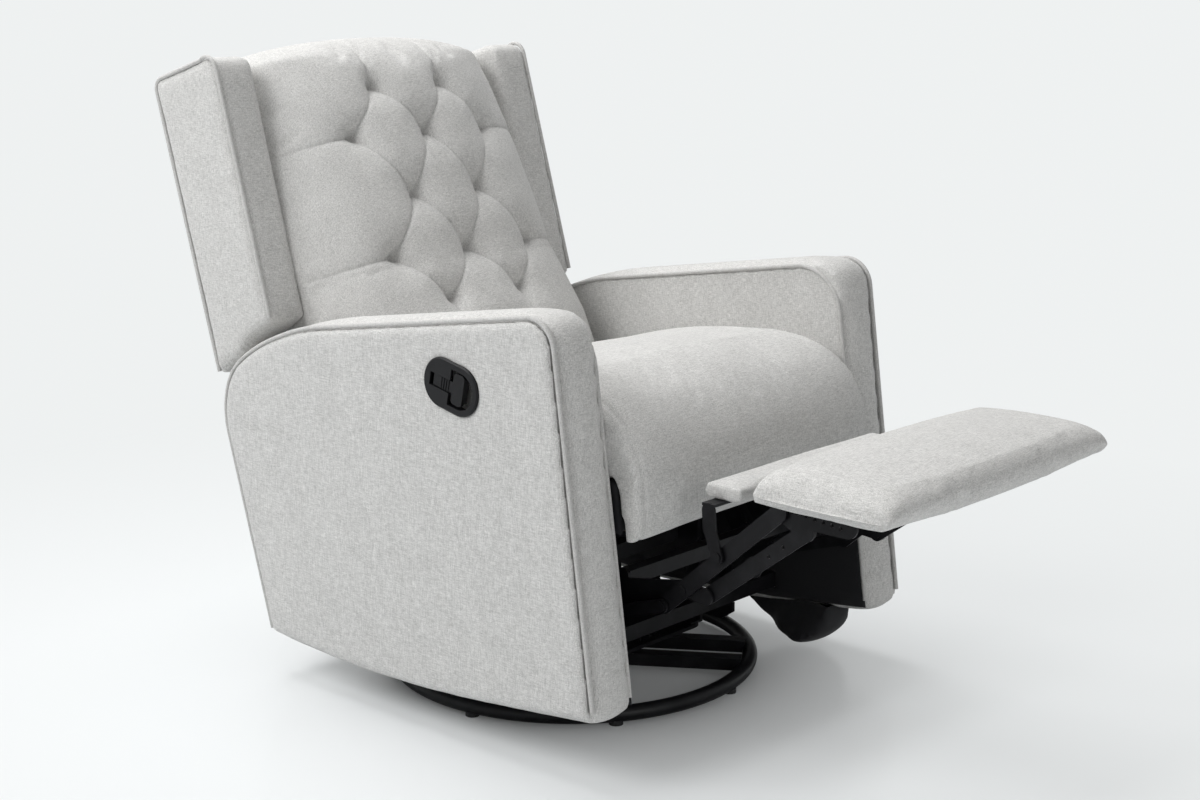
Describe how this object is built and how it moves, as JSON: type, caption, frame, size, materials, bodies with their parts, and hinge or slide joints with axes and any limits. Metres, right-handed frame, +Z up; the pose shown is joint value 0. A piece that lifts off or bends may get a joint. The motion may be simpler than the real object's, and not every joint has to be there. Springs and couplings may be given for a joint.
{
  "type": "swivel glider recliner",
  "caption": "Upholstered wing-back armchair on a round swivel base, with hanging glide links, a reclining tufted back and a folding footrest.",
  "frame": {"origin": "on the floor under the swivel axis", "axes": "+Z up, the chair faces -Y, the release handle is on -X"},
  "size_m": [0.764, 1.4273, 1.0004],
  "materials": {
    "linen": "heathered warm grey linen weave",
    "linen_side": "the same weave, lit flat on the outer panels",
    "linen_piping": "the same weave cut on the bias over cord",
    "black_steel": "satin black powder coat",
    "zinc_steel": "zinc plated",
    "black_plastic": "fine moulded grain",
    "foot_plastic": "hard glide plastic",
    "plywood": "raw plywood",
    "black_cloth": "thin black lining cloth"
  },
  "bodies": {
    "base": {"base_ring": "black_steel", "base_crossbars": "black_steel", "foot_glides": "foot_plastic", "base_plate": "black_steel", "lower_race": "zinc_steel", "bearing_balls": "zinc_steel", "swivel_bolt": "zinc_steel"},
    "swivel": {"upper_race": "zinc_steel", "swivel_plate": "black_steel", "glider_stand_left": "black_steel", "glider_stand_right": "black_steel", "stand_cross_tubes": "black_steel"},
    "front_swing": {"front_glide_links": "black_steel"},
    "rear_swing": {"rear_glide_links": "black_steel"},
    "chassis": {"glide_rail_left": "black_steel", "glide_rail_right": "black_steel", "chassis_cross_tubes": "black_steel", "mechanism_supports": "black_steel", "arm_frame_left": "plywood", "arm_frame_right": "plywood", "arm_pad_left": "linen", "arm_pad_right": "linen", "side_panel_left": "linen_side", "side_panel_right": "linen_side", "arm_piping_left": "linen_piping", "arm_piping_right": "linen_piping", "arm_linings": "black_cloth", "rear_panel": "linen", "handle_bezel": "black_plastic", "paddle_pin": "zinc_steel", "dust_cover": "black_cloth"},
    "handle": {"release_paddle": "black_plastic"},
    "seat": {"seat_frame": "plywood", "seat_springs": "zinc_steel", "seat_deck": "black_cloth", "seat_cushion": "linen", "mechanism_plate_left": "black_steel", "mechanism_plate_right": "black_steel", "seat_cross_tubes": "black_steel"},
    "back": {"back_brackets": "black_steel", "back_frame": "plywood", "back_cushion": "linen", "back_wing_left": "linen", "back_wing_right": "linen", "back_panel": "linen", "wing_piping_left": "linen_piping", "wing_piping_right": "linen_piping"},
    "drive": {"drive_links": "black_steel", "torque_tube": "black_steel"},
    "long": {"long_links": "black_steel"},
    "idler": {"idler_links": "black_steel"},
    "follower": {"follower_links": "black_steel"},
    "footrest": {"footrest_brackets": "black_steel", "footrest_board": "black_cloth", "footrest_cushion": "linen"},
    "flipper": {"flipper_brackets": "black_steel", "flipper_pad": "linen"}
  },
  "joints": [
    {"name": "swivel_turn", "type": "hinge", "parent": "base", "child": "swivel", "pos_m": [0, 0, 0.05], "axis": [0, 0, 1], "continuous": true},
    {"name": "glide", "type": "hinge", "parent": "swivel", "child": "front_swing", "pos_m": [0, -0.12, 0.235], "axis": [1, 0, 0], "range_deg": [-18, 18]},
    {"name": "rear_glide", "type": "hinge", "parent": "swivel", "child": "rear_swing", "pos_m": [0, 0.12, 0.235], "axis": [1, 0, 0], "range_deg": [-18.05, 18.05]},
    {"name": "chassis_level", "type": "hinge", "parent": "front_swing", "child": "chassis", "pos_m": [0, -0.12, 0.085], "axis": [1, 0, 0], "range_deg": [-18.05, 18.05]},
    {"name": "release", "type": "hinge", "parent": "chassis", "child": "handle", "pos_m": [-0.373, -0.08651, 0.5497], "axis": [0, 0.2079, -0.9781], "range_deg": [0, 30], "stiffness_Nm_per_rad": 0.4, "springref_deg": -20.05},
    {"name": "seat_slide", "type": "slide", "parent": "chassis", "child": "seat", "axis": [0, -0.9903, 0.1392], "range_m": [0, 0.03505]},
    {"name": "recline", "type": "hinge", "parent": "seat", "child": "back", "pos_m": [0, 0.24996, 0.33002], "axis": [-1, 0, 0], "range_deg": [0, 28]},
    {"name": "footrest_fold", "type": "hinge", "parent": "seat", "child": "drive", "pos_m": [0, -0.25, 0.235], "axis": [1, 0, 0], "range_deg": [0, 72]},
    {"name": "long_link_turn", "type": "hinge", "parent": "drive", "child": "long", "pos_m": [0, -0.418, 0.266], "axis": [1, 0, 0], "range_deg": [-110.05, 0]},
    {"name": "idler_turn", "type": "hinge", "parent": "seat", "child": "idler", "pos_m": [0, -0.2151, 0.1817], "axis": [1, 0, 0], "range_deg": [0, 70.55]},
    {"name": "follower_turn", "type": "hinge", "parent": "drive", "child": "follower", "pos_m": [0, -0.455, 0.263], "axis": [1, 0, 0], "range_deg": [-119.76, 0]},
    {"name": "footrest_turn", "type": "hinge", "parent": "long", "child": "footrest", "pos_m": [0, -0.585, 0.412], "axis": [1, 0, 0], "range_deg": [0, 120.05]},
    {"name": "flipper_turn", "type": "hinge", "parent": "long", "child": "flipper", "pos_m": [0, -0.484, 0.33], "axis": [1, 0, 0], "range_deg": [0, 38.05]}
  ],
  "couplings": [
    {"joint": "rear_glide", "follows": "glide", "ratio": 1},
    {"joint": "chassis_level", "follows": "glide", "ratio": -1},
    {"joint": "seat_slide", "follows": "recline", "m_per_rad": 0.07162},
    {"joint": "long_link_turn", "follows": "footrest_fold", "ratio": -1.5278},
    {"joint": "idler_turn", "follows": "footrest_fold", "ratio": 0.97917},
    {"joint": "follower_turn", "follows": "footrest_fold", "ratio": -1.6626},
    {"joint": "footrest_turn", "follows": "footrest_fold", "ratio": 1.6667},
    {"joint": "flipper_turn", "follows": "footrest_fold", "ratio": 0.52778}
  ]
}
